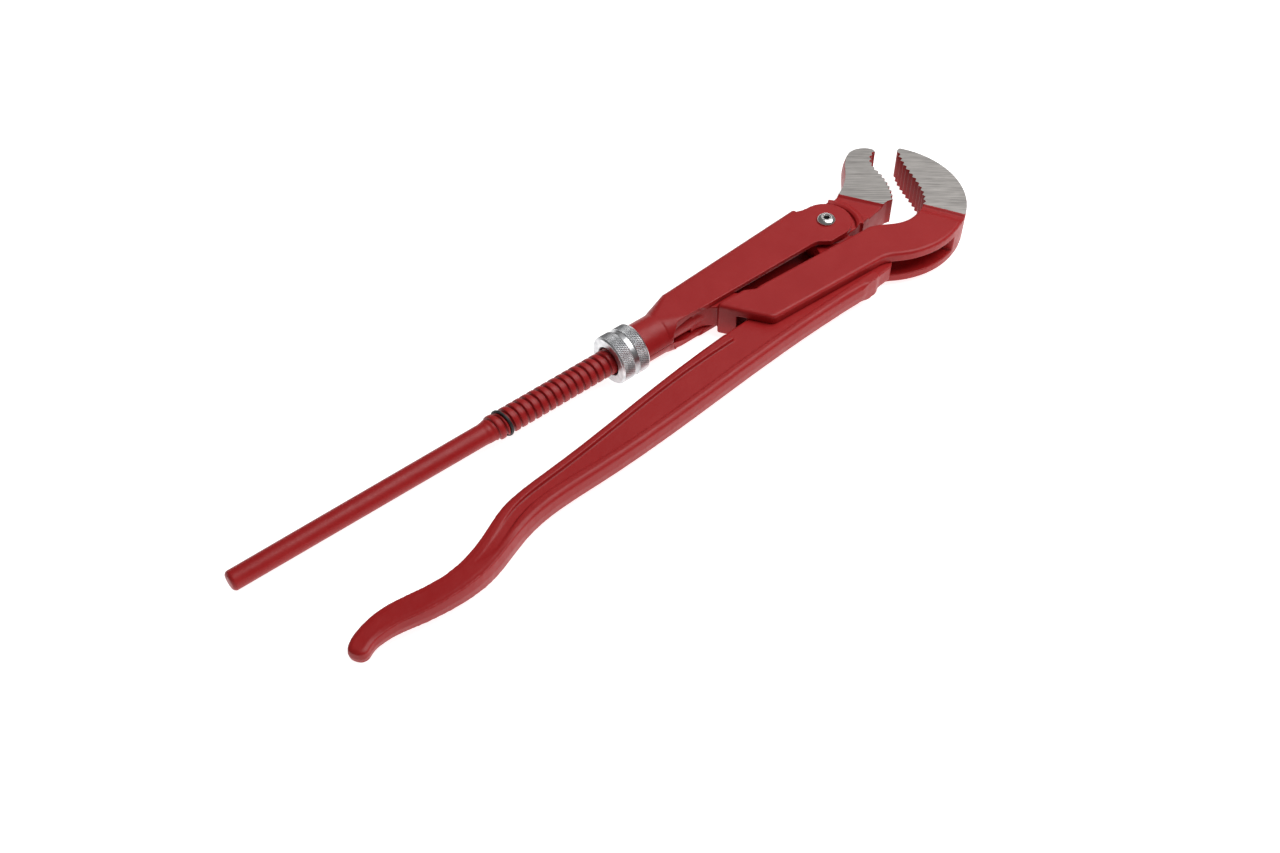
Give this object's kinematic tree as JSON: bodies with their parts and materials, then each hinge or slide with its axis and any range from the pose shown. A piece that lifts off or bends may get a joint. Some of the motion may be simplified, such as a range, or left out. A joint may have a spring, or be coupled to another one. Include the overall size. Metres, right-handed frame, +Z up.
{
  "type": "pipe wrench",
  "caption": "Swedish-pattern pipe wrench: slotted hook-jaw leg with threaded shank, S-jaw lever leg on a folded link, knurled adjusting nut.",
  "frame": {"origin": "middle of the bottom of the box round the tool as it lies flat with the jaws nearly closed", "axes": "+X along the thread towards the jaws, +Y towards the small jaw's side of the thread, +Z up out of the flat side, parallel to the pivot"},
  "size_m": [0.5488, 0.1323, 0.031],
  "materials": {
    "red_enamel": "satin red enamel on forged or pressed steel",
    "ground_steel": "ground bright on the jaw sides",
    "zinc_plate": "bright zinc plate, knurled",
    "bright_steel": "polished",
    "spring_steel": "oiled spring steel",
    "black_rubber": "matt"
  },
  "bodies": {
    "hook_leg": {"hook_jaw_leg": "red_enamel", "thread_stop_ring": "black_rubber"},
    "link": {"link_channel": "red_enamel", "pivot_screw": "bright_steel", "pivot_barrel": "bright_steel", "nut_retaining_ring": "spring_steel"},
    "nut": {"adjusting_nut": "zinc_plate"},
    "lever": {"lever_jaw_leg": "red_enamel"}
  },
  "joints": [
    {"name": "nut_spin", "type": "hinge", "parent": "link", "child": "nut", "pos_m": [-0.0024, 0.0213, 0.0155], "axis": [1, 0, 0], "range_deg": [-4708.7, 277.9]},
    {"name": "link_slide", "type": "slide", "parent": "hook_leg", "child": "link", "axis": [1, 0, 0], "range_m": [-0.068, 0.004]},
    {"name": "lever_pivot", "type": "hinge", "parent": "link", "child": "lever", "pos_m": [0.1716, 0.0223, 0.0155], "axis": [0, 0, 1], "range_deg": [-2, 12]}
  ],
  "couplings": [
    {"joint": "nut_spin", "follows": "link_slide", "rad_per_m": 1208.3}
  ]
}
